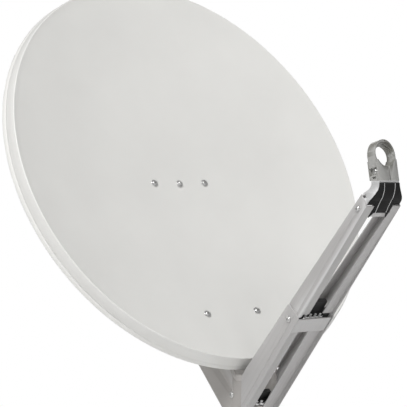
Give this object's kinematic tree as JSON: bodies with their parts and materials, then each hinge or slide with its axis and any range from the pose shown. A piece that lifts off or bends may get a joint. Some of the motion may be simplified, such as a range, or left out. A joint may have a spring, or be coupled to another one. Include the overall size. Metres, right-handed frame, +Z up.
{
  "type": "satellite dish",
  "caption": "Offset satellite dish with a tapered railed feed arm and clamp ring, a tilting rear carrier and a toothed mast clamp.",
  "frame": {"origin": "the mast's axis at the middle height of the mast clamp, behind the reflector", "axes": "+Z up along the mast, the dish faces -Y, +X to the right as seen from in front of the dish"},
  "size_m": [0.8764, 0.8896, 0.9799],
  "materials": {
    "reflector_coat": "powder coated, light grey, fine texture",
    "rail_coat": "satin, warm grey coated sheet",
    "carrier_coat": "mid grey coated sheet, matt",
    "bright_metal": "bright, smooth",
    "clamp_casting": "die cast, grainy",
    "black_plastic": "moulded, matt",
    "bolt_steel": "zinc plated"
  },
  "bodies": {
    "mast_bracket": {"mast_bracket": "carrier_coat", "pivot_bolt": "bolt_steel", "pivot_nut": "bolt_steel", "clamp_bolt_1": "bolt_steel", "clamp_bolt_2": "bolt_steel", "clamp_bolt_3": "bolt_steel", "clamp_bolt_4": "bolt_steel"},
    "clamp_jaw": {"clamp_jaw": "carrier_coat", "clamp_nut_1": "bolt_steel", "clamp_nut_2": "bolt_steel", "clamp_nut_3": "bolt_steel", "clamp_nut_4": "bolt_steel"},
    "dish": {"reflector": "reflector_coat", "carrier_plate": "carrier_coat", "carrier_cheek_left": "carrier_coat", "carrier_cheek_right": "carrier_coat", "foot_web": "carrier_coat", "reflector_bolt_1": "bolt_steel", "reflector_nut_1": "bolt_steel", "reflector_bolt_2": "bolt_steel", "reflector_nut_2": "bolt_steel", "reflector_bolt_3": "bolt_steel", "reflector_nut_3": "bolt_steel", "reflector_bolt_4": "bolt_steel", "reflector_nut_4": "bolt_steel", "reflector_bolt_5": "bolt_steel", "reflector_nut_5": "bolt_steel", "cheek_spacer": "bolt_steel", "cheek_screw_left": "bolt_steel", "cheek_screw_right": "bolt_steel", "lower_rail_left": "rail_coat", "fold_screw_left": "bolt_steel", "lower_rail_right": "rail_coat", "fold_screw_right": "bolt_steel", "foot_bolt_1": "bolt_steel", "foot_nut_1": "bolt_steel", "foot_bolt_2": "bolt_steel", "foot_nut_2": "bolt_steel", "fold_bar": "rail_coat", "foot_comb": "black_plastic", "lock_bolt_left": "bolt_steel", "lock_nut_left": "bolt_steel", "lock_bolt_right": "bolt_steel", "lock_nut_right": "bolt_steel"},
    "upper_arm": {"upper_rail_left": "rail_coat", "head_screw_left": "bolt_steel", "upper_rail_right": "rail_coat", "head_screw_right": "bolt_steel", "fold_comb": "black_plastic", "head_bracket": "bright_metal", "head_insert": "black_plastic", "feed_clamp": "clamp_casting", "feed_clamp_screw": "bolt_steel"}
  },
  "joints": [
    {"name": "elevation", "type": "hinge", "parent": "mast_bracket", "child": "dish", "pos_m": [0, -0.105, 0], "axis": [-1, 0, 0], "range_deg": [-37.5, 7.5]},
    {"name": "feed_arm_fold", "type": "hinge", "parent": "dish", "child": "upper_arm", "pos_m": [0, -0.56422, -0.04559], "axis": [-1, 0, 0], "range_deg": [0, 80]},
    {"name": "jaw_slide", "type": "slide", "parent": "mast_bracket", "child": "clamp_jaw", "axis": [0, 1, 0], "range_m": [-0.015, 0.02]}
  ]
}
